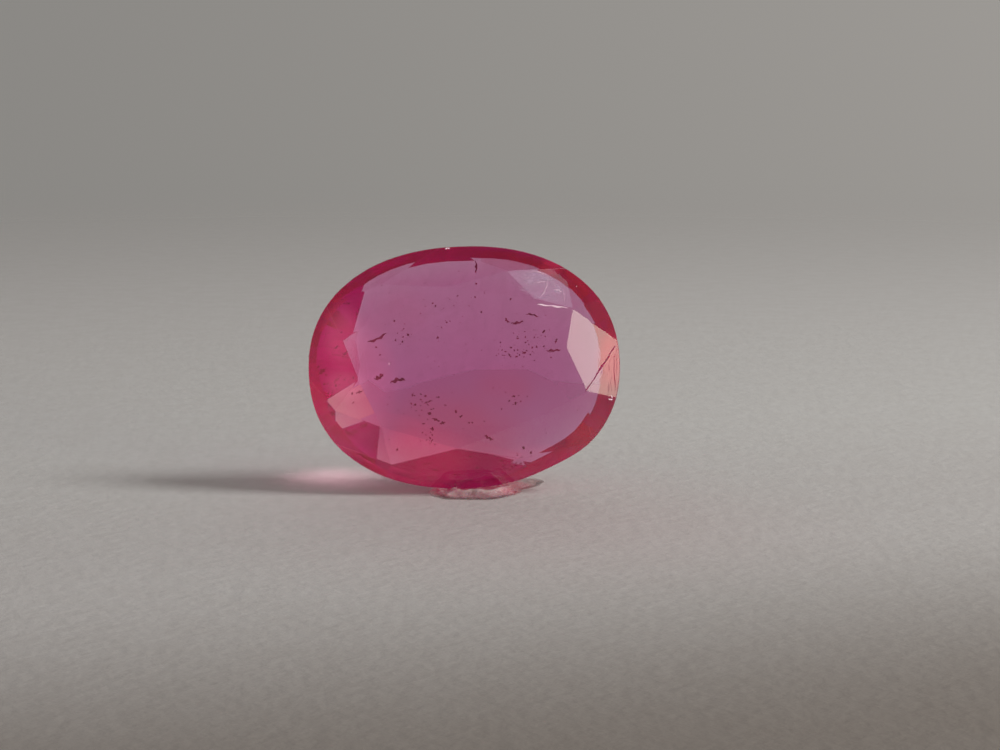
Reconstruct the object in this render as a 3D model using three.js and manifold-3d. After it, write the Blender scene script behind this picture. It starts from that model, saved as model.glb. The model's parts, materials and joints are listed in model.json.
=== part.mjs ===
// An oval ruby cut as a gemstone, standing on its long edge in a dab of clear adhesive.
// Millimetres, +Z up. The stone's table faces -Y, and its long axis runs along X.
// The origin is on the surface that the dab stands on, straight below the middle of the stone's girdle.
import * as THREE from "three";
import { mergeVertices } from "three/addons/utils/BufferGeometryUtils.js";
import Module from "manifold-3d";

const wasm = await Module();
wasm.setup();

// The girdle, the stone's widest outline
const LONG_RADIUS = 4.5;
const SHORT_RADIUS = 3.5;
const SQUARENESS = 2.22; // 2 is an ellipse, and more is fuller at the shoulders
const FLATTER_SIDE = { index: 300, width: 15, depth: 0.026 }; // degrees round, and a share of the radius
const GIRDLE_THICKNESS = 0.24;
const GIRDLE_SIDES = 96;

// The crown, cut as a brilliant: kite facets whose outer tips lie on the girdle at the index angle foot,
// in degrees round from the long axis. Their inner tips lie on the table's edge at the index angle tip and
// at the share table of the girdle's radius. star is how far down the crown the outer tip of the next star
// facet lies, as a share of the crown's height.
const CROWN_HEIGHT = 0.62;
const KITES = [
  { foot: 8, tip: 10, table: 0.665, star: 0.26 },
  { foot: 50, tip: 50, table: 0.69, star: 0.24 },
  { foot: 96, tip: 96, table: 0.67, star: 0.24 },
  { foot: 149, tip: 149, table: 0.7, star: 0.26 },
  { foot: 182, tip: 184, table: 0.68, star: 0.5 },
  { foot: 214, tip: 220, table: 0.685, star: 0.4 },
  { foot: 266, tip: 266, table: 0.66, star: 0.24 },
  { foot: 321, tip: 326, table: 0.64, star: 0.24 },
];

// The pavilion, cut in steps. A ring of narrow break facets runs round under the girdle, and broad steps
// cross it: each has the index angle that it faces, its slope against the table in degrees, and the share
// of the girdle's radius at which it leaves the break facets.
const BREAK_FACETS = { count: 48, slope: 50 };
const MIDDLE_STEPS = [
  { index: 155, slope: 28, share: 0.9 },
  { index: 170, slope: 29, share: 0.92 },
  { index: 200, slope: 24, share: 0.865 },
  { index: 226, slope: 28, share: 0.87 },
  { index: 251, slope: 26, share: 0.87 },
  { index: 263, slope: 26, share: 0.88 },
];
const FLAT_STEPS = [
  { index: 18, slope: 12, share: 0.83 },
  { index: 65, slope: 12, share: 0.82 },
  { index: 100, slope: 12, share: 0.81 },
  { index: 135, slope: 12, share: 0.82 },
  { index: 190, slope: 12, share: 0.77 },
  { index: 240, slope: 12, share: 0.76 },
  { index: 287, slope: 12, share: 0.8 },
  { index: 330, slope: 12, share: 0.81 },
];

// How the stone stands
const ROLL_DEG = 2.3; // its right end is raised
const LEAN_DEG = 7; // its top leans back
const BELOW_GIRDLE = 0.14; // adhesive between the girdle's lowest point and the surface

// The dab of adhesive
const DAB_MIDDLE = { x: 0.68, y: 0.05 };
const DAB_LONG_RADIUS = 1.76;
const DAB_SHORT_RADIUS = 1.48;
const DAB_HEIGHT = 0.5;
const DAB_RIM_HEIGHT = 0.07;
const DAB_FULLNESS = 2.6; // how long the dab stays high before it falls to its rim
const DAB_LUMPS = { count: 5, size: 0.14, twist: 4 }; // on its top: a share of its height, and radians
// The waves of its uneven rim: their number round it, their size as a share of its radius, and their start
const DAB_WAVES = [
  { count: 2, size: 0.07, start: 0.6 },
  { count: 3, size: 0.05, start: -1 },
  { count: 5, size: 0.03, start: 0 },
];
const DAB_ROUND_STEPS = 60;
const DAB_RINGS = 9;
const DAB_GAP_SHARE = 0.012; // the seat in the dab is this share larger than the stone

const REACH = 40; // the side of a box that stands for a lap wheel, larger than the stone
const SAME_POINT = 1e-5; // points nearer than this are one
const HALF_STEP_DEG = 0.5; // to either side, where the outline's direction is measured

// A closed geometry as a manifold-3d solid.
function solidOf(geometry) {
  const bare = geometry.clone();
  bare.deleteAttribute("normal");
  bare.deleteAttribute("uv");
  const merged = mergeVertices(bare, SAME_POINT);
  return new wasm.Manifold(
    new wasm.Mesh({
      numProp: 3,
      vertProperties: new Float32Array(merged.attributes.position.array),
      triVerts: new Uint32Array(merged.index.array),
    }),
  );
}

// A manifold-3d solid as a geometry with flat facets.
function geometryOf(solid) {
  const mesh = solid.getMesh();
  const points = new Float32Array(mesh.numVert * 3);
  for (let i = 0; i < mesh.numVert; i++) {
    points.set(mesh.vertProperties.subarray(i * mesh.numProp, i * mesh.numProp + 3), i * 3);
  }
  const indexed = new THREE.BufferGeometry();
  indexed.setAttribute("position", new THREE.BufferAttribute(points, 3));
  indexed.setIndex(new THREE.BufferAttribute(mesh.triVerts, 1));
  const flat = indexed.toNonIndexed();
  flat.computeVertexNormals();
  return flat;
}

// A point of the girdle's outline at an index angle in degrees: a superellipse with one flatter side.
function outline(index) {
  const angle = THREE.MathUtils.degToRad(index);
  const reach = (value) => Math.sign(value) * Math.abs(value) ** (2 / SQUARENESS);
  const past = THREE.MathUtils.euclideanModulo(index - FLATTER_SIDE.index + 180, 360) - 180;
  const left = 1 - FLATTER_SIDE.depth * Math.exp(-((past / FLATTER_SIDE.width) ** 2));
  return new THREE.Vector2(
    LONG_RADIUS * left * reach(Math.cos(angle)),
    SHORT_RADIUS * left * reach(Math.sin(angle)),
  );
}

// The outline's outward normal at an index angle, square to the line between two points close by.
function outward(index) {
  const along = outline(index + HALF_STEP_DEG).sub(outline(index - HALF_STEP_DEG));
  return new THREE.Vector2(along.y, -along.x).normalize();
}

// A facet's plane through a point, from its slope against the table in degrees and the index angle that
// it faces. side is +1 on the crown and -1 on the pavilion.
function slopedPlane(index, slope, side, point) {
  const tilt = THREE.MathUtils.degToRad(slope);
  const away = outward(index).multiplyScalar(Math.sin(tilt));
  const normal = new THREE.Vector3(away.x, away.y, side * Math.cos(tilt));
  return new THREE.Plane().setFromNormalAndCoplanarPoint(normal, point);
}

// A crown facet's plane through three points.
function planeThrough(a, b, c) {
  const plane = new THREE.Plane().setFromCoplanarPoints(a, b, c);
  return plane.normal.z < 0 ? plane.negate() : plane;
}

// The point at a height where two planes cross.
function crossing(one, two, z) {
  const { x: a, y: b } = one.normal;
  const { x: c, y: d } = two.normal;
  const e = -one.constant - one.normal.z * z;
  const f = -two.constant - two.normal.z * z;
  const size = a * d - b * c;
  return new THREE.Vector3((e * d - b * f) / size, (a * f - e * c) / size, z);
}

// All that lies beyond a plane, as a box with one face on it.
function beyond(plane) {
  const box = new THREE.BoxGeometry(REACH, REACH, REACH).translate(0, 0, REACH / 2);
  const turn = new THREE.Quaternion().setFromUnitVectors(new THREE.Vector3(0, 0, 1), plane.normal);
  box.applyQuaternion(turn);
  const foot = plane.normal.clone().multiplyScalar(-plane.constant);
  return solidOf(box.translate(foot.x, foot.y, foot.z));
}

// The crown's facets: eight kites, eight stars between their inner tips,
// and two upper girdle facets between each pair of kites.
function crownPlanes() {
  const top = GIRDLE_THICKNESS / 2 + CROWN_HEIGHT;
  const base = GIRDLE_THICKNESS / 2;
  const kites = KITES.map((kite) => {
    const edge = outline(kite.foot);
    const inner = outline(kite.tip).multiplyScalar(kite.table);
    const foot = new THREE.Vector3(edge.x, edge.y, base);
    const tip = new THREE.Vector3(inner.x, inner.y, top);
    const run = edge.sub(inner).dot(outward(kite.foot));
    const slope = THREE.MathUtils.radToDeg(Math.atan2(CROWN_HEIGHT, run));
    return { ...kite, footPoint: foot, tipPoint: tip, plane: slopedPlane(kite.foot, slope, 1, foot) };
  });
  const planes = kites.map((kite) => kite.plane);
  kites.forEach((kite, i) => {
    const next = kites[(i + 1) % kites.length];
    const turn = THREE.MathUtils.euclideanModulo(next.foot - kite.foot, 360);
    const middle = outline(kite.foot + turn / 2);
    const between = new THREE.Vector3(middle.x, middle.y, base);
    const star = crossing(kite.plane, next.plane, top - kite.star * CROWN_HEIGHT);
    planes.push(planeThrough(kite.tipPoint, next.tipPoint, star));
    planes.push(planeThrough(kite.footPoint, between, star));
    planes.push(planeThrough(between, next.footPoint, star));
  });
  planes.push(new THREE.Plane(new THREE.Vector3(0, 0, 1), -top));
  return planes;
}

// The pavilion's facets. Every step passes through a point of the cone that the break facets make.
function pavilionPlanes() {
  const fall = Math.tan(THREE.MathUtils.degToRad(BREAK_FACETS.slope));
  const stepPlane = ({ index, slope, share }) => {
    const edge = outline(index);
    const run = (1 - share) * edge.dot(outward(index));
    const point = new THREE.Vector3(edge.x * share, edge.y * share, -GIRDLE_THICKNESS / 2 - run * fall);
    return slopedPlane(index, slope, -1, point);
  };
  const breaks = Array.from({ length: BREAK_FACETS.count }, (_, i) => ({
    index: (i * 360) / BREAK_FACETS.count,
    slope: BREAK_FACETS.slope,
    share: 1,
  }));
  return [...breaks, ...MIDDLE_STEPS, ...FLAT_STEPS].map(stepPlane);
}

// The stone in its own frame: X along its length, Y across it, Z out of its table.
function cutStone() {
  const points = Array.from({ length: GIRDLE_SIDES }, (_, i) => outline((i * 360) / GIRDLE_SIDES));
  const rough = new THREE.ExtrudeGeometry(new THREE.Shape(points), {
    depth: 2 * LONG_RADIUS,
    bevelEnabled: false,
  }).translate(0, 0, -LONG_RADIUS);
  return [...crownPlanes(), ...pavilionPlanes()].reduce(
    (stone, plane) => stone.subtract(beyond(plane)),
    solidOf(rough),
  );
}

// Carries the stone from its own frame to where it stands.
function standingPlace() {
  const rolled = new THREE.Matrix4().makeRotationZ(THREE.MathUtils.degToRad(ROLL_DEG));
  const upright = new THREE.Matrix4().makeRotationX(THREE.MathUtils.degToRad(90 - LEAN_DEG));
  const turn = upright.multiply(rolled);
  const lowest = Math.min(
    ...Array.from({ length: GIRDLE_SIDES }, (_, i) => {
      const edge = outline((i * 360) / GIRDLE_SIDES);
      const behind = new THREE.Vector3(edge.x, edge.y, -GIRDLE_THICKNESS / 2);
      return behind.applyMatrix4(turn).z;
    }),
  );
  return new THREE.Matrix4().makeTranslation(0, 0, BELOW_GIRDLE - lowest).multiply(turn);
}

// The dab's outline at an angle in radians, as a share of its radii: an uneven round.
function dabSpread(angle) {
  const waves = DAB_WAVES.map((wave) => wave.size * Math.sin(wave.count * angle + wave.start));
  return waves.reduce((sum, wave) => sum + wave, 1);
}

// The height of the dab's top at an angle, and at a share of the way from its middle to its rim.
// The lumps are highest half way out, and spiral round the dome.
function dabHeight(angle, share) {
  const dome = DAB_RIM_HEIGHT + (DAB_HEIGHT - DAB_RIM_HEIGHT) * (1 - share ** DAB_FULLNESS);
  const halfWay = 4 * share * (1 - share);
  return dome * (1 + DAB_LUMPS.size * halfWay * Math.sin(DAB_LUMPS.count * angle + DAB_LUMPS.twist * share));
}

// The dab before the stone is pressed into it: a low lumpy dome on a flat foot. Its points run ring by
// ring from the middle of the top to the rim, then round the foot's edge to the middle of the foot.
function dabDome() {
  const points = [0, 0, dabHeight(0, 0)];
  const addRing = (share, heightAt) => {
    for (let step = 0; step < DAB_ROUND_STEPS; step++) {
      const angle = (2 * Math.PI * step) / DAB_ROUND_STEPS;
      const spread = share * dabSpread(angle);
      const x = DAB_LONG_RADIUS * spread * Math.cos(angle);
      const y = DAB_SHORT_RADIUS * spread * Math.sin(angle);
      points.push(x, y, heightAt(angle));
    }
  };
  for (let ring = 1; ring <= DAB_RINGS; ring++) {
    const share = ring / DAB_RINGS;
    addRing(share, (angle) => dabHeight(angle, share));
  }
  addRing(1, () => 0);
  const footMiddle = points.length / 3;
  points.push(0, 0, 0);

  const faces = [];
  for (let step = 0; step < DAB_ROUND_STEPS; step++) {
    const after = (step + 1) % DAB_ROUND_STEPS;
    faces.push(0, 1 + step, 1 + after);
    for (let ring = 0; ring < DAB_RINGS; ring++) {
      const inner = 1 + ring * DAB_ROUND_STEPS;
      const outer = inner + DAB_ROUND_STEPS;
      faces.push(inner + step, outer + step, outer + after);
      faces.push(inner + step, outer + after, inner + after);
    }
    const footEdge = 1 + DAB_RINGS * DAB_ROUND_STEPS;
    faces.push(footMiddle, footEdge + after, footEdge + step);
  }
  const dome = new THREE.BufferGeometry();
  dome.setAttribute("position", new THREE.Float32BufferAttribute(points, 3));
  dome.setIndex(faces);
  return dome.translate(DAB_MIDDLE.x, DAB_MIDDLE.y, 0);
}

// The dab with the seat that the stone is pressed into.
function pressedDab(stoneGeometry, place) {
  const larger = 1 + DAB_GAP_SHARE;
  const pressed = stoneGeometry.clone().scale(larger, larger, larger).applyMatrix4(place);
  return solidOf(dabDome()).subtract(solidOf(pressed));
}

const rubyRed = new THREE.MeshStandardMaterial({ color: 0xa03a64, roughness: 0.05, metalness: 0 });
const clearAdhesive = new THREE.MeshStandardMaterial({ color: 0xd8c4c4, roughness: 0.25, metalness: 0 });

const object = new THREE.Group();
const stoneGeometry = geometryOf(cutStone());
const place = standingPlace();

const ruby = new THREE.Mesh(stoneGeometry, rubyRed);
ruby.name = "ruby";
const stand = new THREE.Group();
stand.applyMatrix4(place);
stand.add(ruby);
object.add(stand);

const dab = new THREE.Mesh(geometryOf(pressedDab(stoneGeometry, place)), clearAdhesive);
dab.name = "adhesive_dab";
object.add(dab);

export default object;
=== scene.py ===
import json
import math

import bmesh
import bpy
import numpy as np
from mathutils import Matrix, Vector


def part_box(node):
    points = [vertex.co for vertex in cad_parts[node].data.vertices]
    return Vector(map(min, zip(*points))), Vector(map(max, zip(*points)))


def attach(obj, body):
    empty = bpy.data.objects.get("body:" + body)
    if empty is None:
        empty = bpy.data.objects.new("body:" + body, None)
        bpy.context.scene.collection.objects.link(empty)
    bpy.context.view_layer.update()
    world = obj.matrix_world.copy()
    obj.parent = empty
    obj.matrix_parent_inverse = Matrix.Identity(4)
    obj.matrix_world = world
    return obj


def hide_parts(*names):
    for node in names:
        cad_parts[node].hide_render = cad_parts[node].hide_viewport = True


# An oval ruby on its long edge in a dab of clear adhesive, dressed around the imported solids.
# The stone is its solid with faintly worn edges. Its inclusions and its feather are made inside it,
# and the dab is a crumpled surface in its solid's place. The scene is in metres. The sizes below are in
# millimetres, and are multiplied by MM where they are used.

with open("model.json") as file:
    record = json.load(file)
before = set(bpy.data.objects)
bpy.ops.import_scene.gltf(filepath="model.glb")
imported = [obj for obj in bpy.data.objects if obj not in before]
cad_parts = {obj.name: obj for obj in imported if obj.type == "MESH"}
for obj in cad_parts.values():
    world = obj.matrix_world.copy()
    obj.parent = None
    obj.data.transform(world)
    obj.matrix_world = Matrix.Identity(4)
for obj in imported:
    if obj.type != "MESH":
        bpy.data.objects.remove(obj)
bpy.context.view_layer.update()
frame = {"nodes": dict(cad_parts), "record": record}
MM = 0.001
TAU = 2 * math.pi

# The stone's own directions, from the mount on its table
TABLE = next(mount for mount in frame["record"]["mounts"] if mount["name"] == "table")
TABLE_POINT = np.array(TABLE["pos_m"])
TABLE_NORMAL = np.array(TABLE["axis"])
ALONG_STONE = np.array([1.0, 0.0, 0.0])
UP_STONE = np.cross(TABLE_NORMAL, ALONG_STONE)
# A line this near to level with a facet's plane, as a share of its length, doesn't meet it
NEARLY_LEVEL = 0.001

# The camera, level with the photograph's: degrees, millimetres, and the stone's middle in the picture
CAMERA_ELEVATION = 8.0
CAMERA_DISTANCE = 68.35
CAMERA_LENS = 85
STONE_MIDDLE_HEIGHT = 3.63
STONE_MIDDLE_PX = (464.2, 367.6)
PICTURE_PX = (1000, 750)

# Ruby: refractive index, and how fast it takes up red, green and blue light, per metre. The absorption's
# density is the fastest of these with a margin.
RUBY_INDEX = 1.76
RUBY_UPTAKE = (45, 560, 175)
UPTAKE_MARGIN = 1.05
# Roughness falls between two shares of facing the table's way, from the first value to the second
POLISH_FACING = (0.45, 0.85)
POLISH_ROUGHNESS = (0.32, 0.025)

# The solid's facets: points this near are one, faces that meet at less than the first angle are one facet,
# and edges sharper than the second are worn round by this width. Angles are degrees.
MERGE_DISTANCE = 0.0001
FLAT_ANGLE = 0.2
WORN_ANGLE = 4
EDGE_WEAR = 0.018

# Zones of the stone: places on the table as millimetres along the stone and up it from the table's
# middle, radii along it and up it, and strength. Each is full up to ZONE_CORE of its radii. The middle has
# a deeper tint than the edge. Some zones are redder and some are scratched. Some glow red: faintly all
# over as ruby's fluorescence, and more strongly in places as painted light. Some have a painted pale glow
# of lit haze.
ZONE_CORE = 0.35
EDGE_TINT = (0.95, 0.94, 0.955)
MIDDLE_TINT = (0.835, 0.77, 0.805)
MIDDLE_ZONES = [
    {"place": (0.2, 0.2), "radii": (5.0, 3.9), "strength": 1.0},
]
RED_TINT = (0.95, 0.61, 0.63)
RED_ZONES = [
    {"place": (-0.5, -2.2), "radii": (3.0, 1.7), "strength": 1.0},
    {"place": (1.1, -0.8), "radii": (1.2, 0.7), "strength": 0.5},
    {"place": (-1.9, 1.4), "radii": (1.3, 0.9), "strength": 0.25},
]
# Red glow: the faint zone over the whole stone stands for its fluorescence; the stronger zones are painted
# light, for light scattered inside the stone.
FLUORESCENT_AND_PAINTED_GLOW_COLOUR = (1.0, 0.06, 0.12)
FLUORESCENT_AND_PAINTED_GLOW_ZONES = [
    {"place": (0.0, 0.0), "radii": (9.0, 9.0), "strength": 0.014},
    {"place": (-3.4, -0.6), "radii": (2.0, 2.8), "strength": 0.064},
    {"place": (-1.3, -2.7), "radii": (2.2, 1.3), "strength": 0.06},
    {"place": (2.2, -2.9), "radii": (2.0, 0.9), "strength": 0.04},
    {"place": (2.5, 2.75), "radii": (0.5, 0.3), "strength": 0.09},
    {"place": (4.2, 0.1), "radii": (0.6, 1.1), "strength": 0.08},
]
# A painted pale pink glow, for haze inside the stone where light falls on it.
PAINTED_HAZE_GLOW_COLOUR = (1.0, 0.42, 0.52)
PAINTED_HAZE_GLOW_ZONES = [
    {"place": (-3.4, 0.75), "radii": (0.75, 1.1), "strength": 0.045},
    {"place": (-3.35, -0.6), "radii": (0.75, 0.6), "strength": 0.06},
    {"place": (3.9, -2.3), "radii": (1.3, 1.2), "strength": 0.018},
    {"place": (-3.3, -1.9), "radii": (1.3, 1.2), "strength": 0.014},
]
SCRATCHED_ZONES = [
    {"place": (4.15, -0.15), "radii": (0.6, 1.2), "strength": 1.0},
]

# Patterns in the materials: how many of their patches or waves fit in a metre
STONE_PATCHES = 420
STONE_SWELL = 900
SCRATCH_LINES = (13000, 13000, 900)
DARK_PATCHES = 6000
PALE_PATCHES = 9000
FEATHER_PATCHES = 1500
FEATHER_CREASES = (1100, 1100, 3200)
ADHESIVE_PATCHES = 2200
PAPER_PATCHES = 900
PAPER_GRAIN = 2600
# How strong the stone's scratches are beside its swell: in the scratched zones, over what they are elsewhere
SCRATCH_RELIEF = 2.6
PLAIN_RELIEF = 0.1
# Bumps: strengths, and heights
STONE_BUMP = (0.13, 0.03)
ADHESIVE_BUMP = (0.6, 0.03)
PAPER_BUMP = (0.35, 0.12)

# Inclusions by their places on the table: millimetres along the stone and up it from the table's middle.
# They lie between these shares of the way from the crown's surface to the pavilion's. A grain is left out
# where the stone is thinner than this.
INCLUSION_SHARE = (0.08, 0.45)
LEAST_THICKNESS = 0.2
# A grain's rings and sides, and the least and the most that it is stretched along, up and into the stone
BALL_GRID = (7, 10)
GRAIN_STRETCH = ((0.7, 0.5, 0.5), (1.5, 0.9, 0.9))
# Threads run from one place to another, with the radius at their thickest and how far they bow. The radius
# follows a sine raised to the taper, so a low taper keeps a thread thick nearly to its ends.
THREAD_GRID = (26, 8)
THREAD_TAPER = 0.6
THREADS = [
    {"start": (0.34, 2.97), "end": (0.34, 2.56), "radius": 0.03, "bow": 0.02},
    {"start": (-2.78, 0.69), "end": (-2.21, 0.97), "radius": 0.036, "bow": -0.05},
    {"start": (-2.58, -0.36), "end": (-2.32, -0.2), "radius": 0.055, "bow": -0.04},
    {"start": (-2.12, -0.48), "end": (-1.68, -0.39), "radius": 0.052, "bow": 0.05},
    {"start": (0.57, -1.98), "end": (0.83, -2.1), "radius": 0.035, "bow": 0.01},
    {"start": (2.34, 0.45), "end": (2.77, 0.48), "radius": 0.034, "bow": -0.01},
    {"start": (2.66, 0.8), "end": (2.6, 0.65), "radius": 0.024, "bow": 0.0},
    {"start": (1.76, 1.49), "end": (2.14, 1.4), "radius": 0.024, "bow": 0.03},
    {"start": (1.18, 1.4), "end": (1.3, 1.26), "radius": 0.032, "bow": -0.03},
    {"start": (1.33, 1.23), "end": (1.7, 1.29), "radius": 0.034, "bow": -0.02},
    {"start": (-3.07, -0.75), "end": (-2.87, -0.68), "radius": 0.032, "bow": 0.0},
    {"start": (-1.16, -1.06), "end": (-0.9, -0.97), "radius": 0.018, "bow": 0.0},
    {"start": (-0.93, -1.49), "end": (-0.7, -1.58), "radius": 0.03, "bow": 0.01},
    {"start": (-0.7, -1.66), "end": (-0.53, -1.61), "radius": 0.034, "bow": 0.02},
    {"start": (-3.3, 0.43), "end": (-3.42, 0.33), "radius": 0.03, "bow": 0.02},
    {"start": (-3.68, 0.5), "end": (-3.58, 0.6), "radius": 0.016, "bow": 0.0},
]
GRAINS = [
    {"place": (0.34, 2.33), "radius": 0.034}, {"place": (-0.9, 1.81), "radius": 0.03},
    {"place": (-0.82, 1.72), "radius": 0.026}, {"place": (-0.5, 1.26), "radius": 0.024},
    {"place": (-0.41, 1.29), "radius": 0.028}, {"place": (-0.76, 0.82), "radius": 0.036},
    {"place": (-2.0, 1.29), "radius": 0.03}, {"place": (-1.97, 0.74), "radius": 0.028},
    {"place": (-2.52, 0.54), "radius": 0.028}, {"place": (-2.41, 0.33), "radius": 0.024},
    {"place": (0.49, 1.55), "radius": 0.034}, {"place": (1.33, 1.92), "radius": 0.034},
    {"place": (2.28, 1.0), "radius": 0.042}, {"place": (1.73, 0.39), "radius": 0.036},
    {"place": (1.79, 0.45), "radius": 0.024}, {"place": (-1.48, -0.82), "radius": 0.036},
    {"place": (-1.11, -0.85), "radius": 0.038}, {"place": (-0.73, -0.88), "radius": 0.028},
    {"place": (-1.4, -1.09), "radius": 0.026}, {"place": (-0.99, -1.35), "radius": 0.05},
    {"place": (-1.16, -1.64), "radius": 0.03}, {"place": (-0.24, -1.29), "radius": 0.052},
    {"place": (-0.09, -1.43), "radius": 0.04}, {"place": (0.14, -1.61), "radius": 0.03},
    {"place": (0.23, -1.61), "radius": 0.026}, {"place": (-0.9, -1.78), "radius": 0.038},
    {"place": (-1.92, -2.36), "radius": 0.03}, {"place": (-2.15, -2.07), "radius": 0.024},
    {"place": (1.41, -0.85), "radius": 0.03}, {"place": (1.47, -1.06), "radius": 0.036},
    {"place": (1.62, -1.0), "radius": 0.03}, {"place": (1.7, -2.33), "radius": 0.042},
    {"place": (1.85, -2.42), "radius": 0.032}, {"place": (-3.19, -0.77), "radius": 0.028},
    {"place": (-3.65, -0.56), "radius": 0.028}, {"place": (-3.16, -1.03), "radius": 0.026},
    {"place": (-3.48, 0.94), "radius": 0.032}, {"place": (1.18, 0.42), "radius": 0.026},
    {"place": (1.53, 0.8), "radius": 0.026}, {"place": (0.31, 1.98), "radius": 0.024},
]
# Swarms of fine grains: how many, how far they spread along the stone and up it, and the shares of the
# radius that they have at least and at most
SWARM_SIZES = (0.55, 1.35)
SWARMS = [
    {"place": (-1.71, 0.94), "spread": (0.13, 0.2), "count": 18, "radius": 0.02},
    {"place": (-3.31, -0.38), "spread": (0.14, 0.09), "count": 9, "radius": 0.016},
    {"place": (1.56, 0.42), "spread": (0.36, 0.2), "count": 38, "radius": 0.021},
    {"place": (1.9, 0.85), "spread": (0.32, 0.2), "count": 16, "radius": 0.019},
    {"place": (-1.04, -2.05), "spread": (0.13, 0.13), "count": 14, "radius": 0.024},
    {"place": (1.5, -0.9), "spread": (0.2, 0.12), "count": 10, "radius": 0.02},
    {"place": (1.5, -2.74), "spread": (0.14, 0.07), "count": 9, "radius": 0.024},
    {"place": (-0.35, 1.75), "spread": (0.3, 0.16), "count": 10, "radius": 0.016},
    {"place": (-1.2, -1.2), "spread": (0.42, 0.25), "count": 24, "radius": 0.019},
    {"place": (0.6, -0.4), "spread": (1.6, 1.1), "count": 56, "radius": 0.013},
    {"place": (-0.6, 1.3), "spread": (1.4, 0.9), "count": 48, "radius": 0.013},
]
# Pale specks and chips, the bright wrinkles of the feather and a painted glint along a facet edge, at shares
# of the stone's thickness. Their brightness is a painted glow.
PALE_AND_GLINT_GRAINS = [
    {"place": (-2.15, 0.07), "radius": 0.03, "share": 0.2},
    {"place": (3.24, 2.3), "radius": 0.014, "share": 0.0},
]
PALE_AND_GLINT_THREADS = [
    # Chips at the surface, whose glints are painted
    {"start": (4.16, -0.95), "end": (4.3, -0.97), "radius": 0.018, "bow": 0.0, "share": 0.0},
    {"start": (4.24, -0.84), "end": (4.29, -0.93), "radius": 0.015, "bow": 0.0, "share": 0.0},
    {"start": (-0.56, 3.38), "end": (-0.4, 3.39), "radius": 0.018, "bow": 0.02, "share": 0.0},
    # A painted glint along the facet edge below the feather
    {"start": (2.08, 1.78), "end": (2.98, 1.68), "radius": 0.021, "bow": 0.0, "share": 0.0, "taper": 0.4},
    {"start": (2.4, 2.48), "end": (2.16, 1.95), "radius": 0.016, "bow": 0.05, "share": 0.07},
    {"start": (2.06, 2.38), "end": (2.37, 2.42), "radius": 0.012, "bow": 0.02, "share": 0.07},
    {"start": (1.9, 2.73), "end": (2.36, 2.62), "radius": 0.01, "bow": 0.03, "share": 0.07},
    {"start": (2.54, 2.18), "end": (2.8, 2.12), "radius": 0.018, "bow": 0.04, "share": 0.07},
    {"start": (2.84, 2.2), "end": (2.87, 1.85), "radius": 0.006, "bow": 0.01, "share": 0.09},
]
# Dark lines painted along facet edges as shade, made as dark threads at the crown's surface
PAINTED_SHADE_EDGE_LINES = [
    {"start": (3.47, -0.74), "end": (4.38, 0.61), "radius": 0.02, "bow": 0.0, "taper": 0.15},
]

# The feather, a healed break that shows as a wrinkled pale skin under the upper right of the crown.
# Its upper and lower edges run from its tip at the left, through places as above.
FEATHER_UPPER = [
    (1.12, 2.65), (1.5, 2.76), (1.96, 2.78), (2.34, 2.68), (2.57, 2.47), (2.83, 2.27), (2.89, 2.0)]
FEATHER_LOWER = [
    (1.12, 2.65), (1.33, 2.42), (1.67, 2.1), (2.08, 1.8), (2.5, 1.76), (2.7, 1.75), (2.89, 1.75)]
# Its share of the way from the crown to the pavilion, its rows and columns, and its wrinkles' height
FEATHER_SHARE = 0.12
FEATHER_GRID = (60, 110)
WRINKLE_HEIGHT = 0.03

# The dab's crumples: folds of this height in all, with this many millimetres from one to the next
CRUMPLE_HEIGHT = 0.035
CRUMPLE_LENGTHS = (0.55, 0.33, 0.2, 0.12)
# The dab's heights at its rim and in its middle, and the least that it has anywhere. It falls with the share
# of the way to the rim, raised to its fullness.
DAB_RIM_HEIGHT = 0.02
DAB_TOP_HEIGHT = 0.24
DAB_LEAST_HEIGHT = 0.015
DAB_FULLNESS = 1.6
# The lip pressed up in front of the stone: its share of the way to the rim, its width as such a share, and
# its height. Lumps on the dab: places along and across the floor, radii and heights.
DAB_LIP = {"share": 0.66, "width": 0.08, "height": 0.09}
DAB_LUMPS = [
    {"place": (-0.86, -0.25), "radius": 0.17, "height": 0.09},
    {"place": (-0.45, -0.95), "radius": 0.2, "height": 0.06},
    {"place": (1.5, -0.35), "radius": 0.12, "height": 0.07},
]
# The dab's reach as a share of its solid's, and the waves of its rim: their number round it, their size as
# a share of its radius, and their start
DAB_SPREAD = 0.9
DAB_RIM_WAVES = [
    (2, 0.22, -0.5), (3, 0.05, -1.0), (5, 0.03, 0.5), (9, 0.022, 2.0), (17, 0.012, 0.0), (31, 0.006, 1.0)]
# From this place along it, the dab's right end turns back under the stone by this slope
DAB_TURN = {"start": 0.7, "slope": 0.42}
# The gap between the dab and the stone, and the dab's rings and sides
DAB_CLEARANCE = 0.004
DAB_GRID = (130, 340)
# Where the dab's pink, painted light from the stone, fades to the front and back of the stone, where its
# right end is painted dark as the shadow under the stone, and the shares of the way out between which its
# rim thins
PAINTED_PINK_LIGHT_FADE = (0.35, 0.95)
PAINTED_SHADOW_END = (1.2, 1.8)
THIN_RIM = (0.85, 1.0)

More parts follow.
